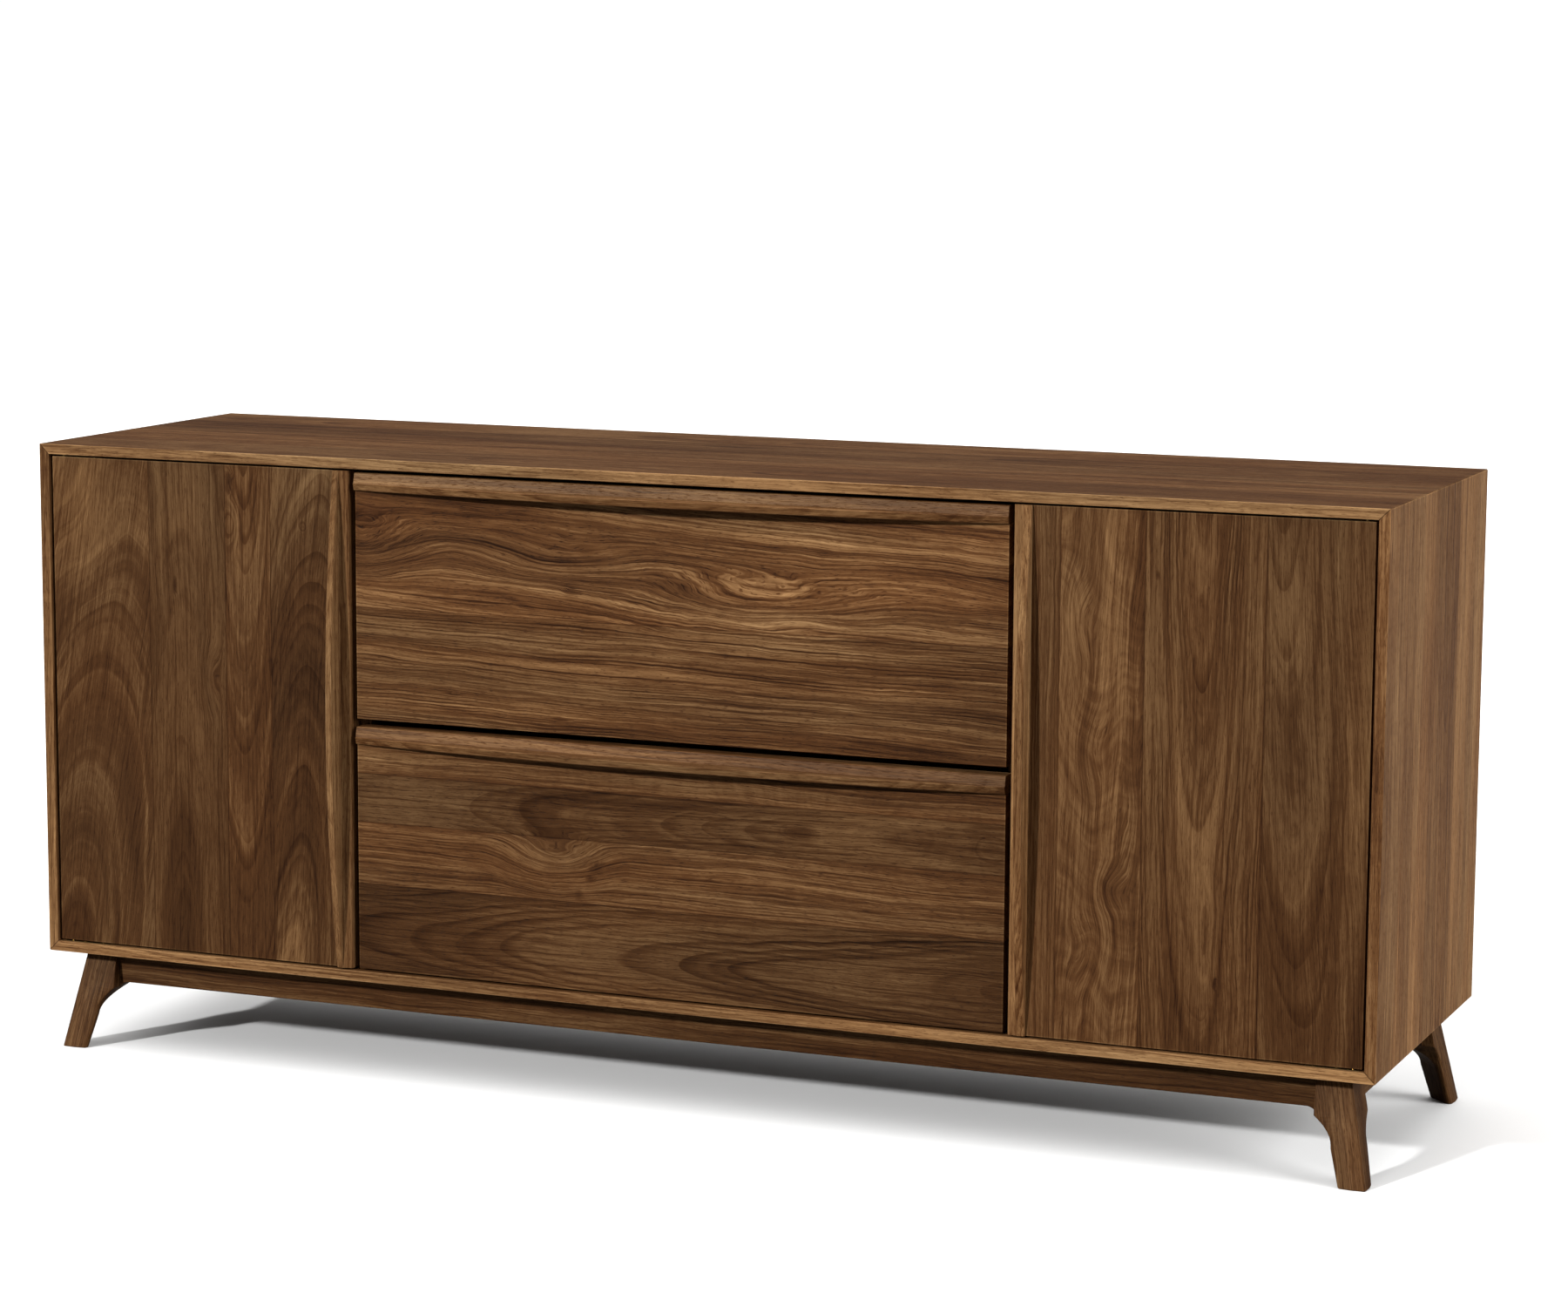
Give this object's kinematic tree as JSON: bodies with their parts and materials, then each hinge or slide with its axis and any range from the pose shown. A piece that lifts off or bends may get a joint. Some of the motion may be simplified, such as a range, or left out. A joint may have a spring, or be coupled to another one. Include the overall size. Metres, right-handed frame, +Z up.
{
  "type": "sideboard buffet",
  "caption": "Low walnut sideboard: mitred case on splayed legs, a hinged door each side of two stacked drawers, bowed finger-ledge pulls.",
  "frame": {"origin": "on the floor under the centre of the bounding box", "axes": "+Z up, +X along the length to the viewer's right, front faces -Y"},
  "size_m": [1.68, 0.4878, 0.754],
  "materials": {
    "walnut": "oiled satin",
    "maple": "clear satin",
    "steel": "zinc plated",
    "brass": "satin",
    "black_plastic": "matte"
  },
  "bodies": {
    "case": {"top_panel": "walnut", "bottom_panel": "walnut", "left_side_panel": "walnut", "right_side_panel": "walnut", "left_partition": "walnut", "right_partition": "walnut", "back_panel": "walnut", "left_shelf": "walnut", "right_shelf": "walnut", "leg_front_left": "walnut", "leg_front_right": "walnut", "leg_back_left": "walnut", "leg_back_right": "walnut", "front_apron": "walnut", "back_apron": "walnut", "left_rail": "walnut", "right_rail": "walnut", "left_door_catch": "black_plastic", "right_door_catch": "black_plastic", "left_top_hinge_case_leaf": "brass", "left_bottom_hinge_case_leaf": "brass", "right_top_hinge_case_leaf": "brass", "right_bottom_hinge_case_leaf": "brass", "upper_left_slide_outer": "steel", "upper_right_slide_outer": "steel", "lower_left_slide_outer": "steel", "lower_right_slide_outer": "steel"},
    "left_door": {"left_door_panel": "walnut", "left_door_pull": "walnut", "left_top_hinge_door_leaf": "brass", "left_bottom_hinge_door_leaf": "brass", "left_door_strike": "steel"},
    "right_door": {"right_door_panel": "walnut", "right_door_pull": "walnut", "right_top_hinge_door_leaf": "brass", "right_bottom_hinge_door_leaf": "brass", "right_door_strike": "steel"},
    "upper_drawer": {"upper_drawer_front": "walnut", "upper_drawer_pull": "walnut", "upper_drawer_left_side": "maple", "upper_drawer_right_side": "maple", "upper_drawer_back": "maple", "upper_drawer_bottom": "maple", "upper_left_slide_inner": "steel", "upper_right_slide_inner": "steel"},
    "upper_left_slide_link": {"upper_left_slide_middle": "steel"},
    "upper_right_slide_link": {"upper_right_slide_middle": "steel"},
    "lower_drawer": {"lower_drawer_front": "walnut", "lower_drawer_pull": "walnut", "lower_drawer_left_side": "maple", "lower_drawer_right_side": "maple", "lower_drawer_back": "maple", "lower_drawer_bottom": "maple", "lower_left_slide_inner": "steel", "lower_right_slide_inner": "steel"},
    "lower_left_slide_link": {"lower_left_slide_middle": "steel"},
    "lower_right_slide_link": {"lower_right_slide_middle": "steel"}
  },
  "joints": [
    {"name": "left_door_hinge", "type": "hinge", "parent": "case", "child": "left_door", "pos_m": [-0.812, -0.20755, 0.1387], "axis": [0, 0, -1], "range_deg": [0, 95]},
    {"name": "right_door_hinge", "type": "hinge", "parent": "case", "child": "right_door", "pos_m": [0.812, -0.20755, 0.1387], "axis": [0, 0, 1], "range_deg": [0, 95]},
    {"name": "upper_drawer_slide", "type": "slide", "parent": "case", "child": "upper_drawer", "axis": [0, -1, 0], "range_m": [0, 0.38]},
    {"name": "upper_left_slide_link_travel", "type": "slide", "parent": "case", "child": "upper_left_slide_link", "axis": [0, -1, 0], "range_m": [0, 0.19]},
    {"name": "upper_right_slide_link_travel", "type": "slide", "parent": "case", "child": "upper_right_slide_link", "axis": [0, -1, 0], "range_m": [0, 0.19]},
    {"name": "lower_drawer_slide", "type": "slide", "parent": "case", "child": "lower_drawer", "axis": [0, -1, 0], "range_m": [0, 0.38]},
    {"name": "lower_left_slide_link_travel", "type": "slide", "parent": "case", "child": "lower_left_slide_link", "axis": [0, -1, 0], "range_m": [0, 0.19]},
    {"name": "lower_right_slide_link_travel", "type": "slide", "parent": "case", "child": "lower_right_slide_link", "axis": [0, -1, 0], "range_m": [0, 0.19]}
  ],
  "couplings": [
    {"joint": "upper_left_slide_link_travel", "follows": "upper_drawer_slide", "ratio": 0.5},
    {"joint": "upper_right_slide_link_travel", "follows": "upper_drawer_slide", "ratio": 0.5},
    {"joint": "lower_left_slide_link_travel", "follows": "lower_drawer_slide", "ratio": 0.5},
    {"joint": "lower_right_slide_link_travel", "follows": "lower_drawer_slide", "ratio": 0.5}
  ]
}
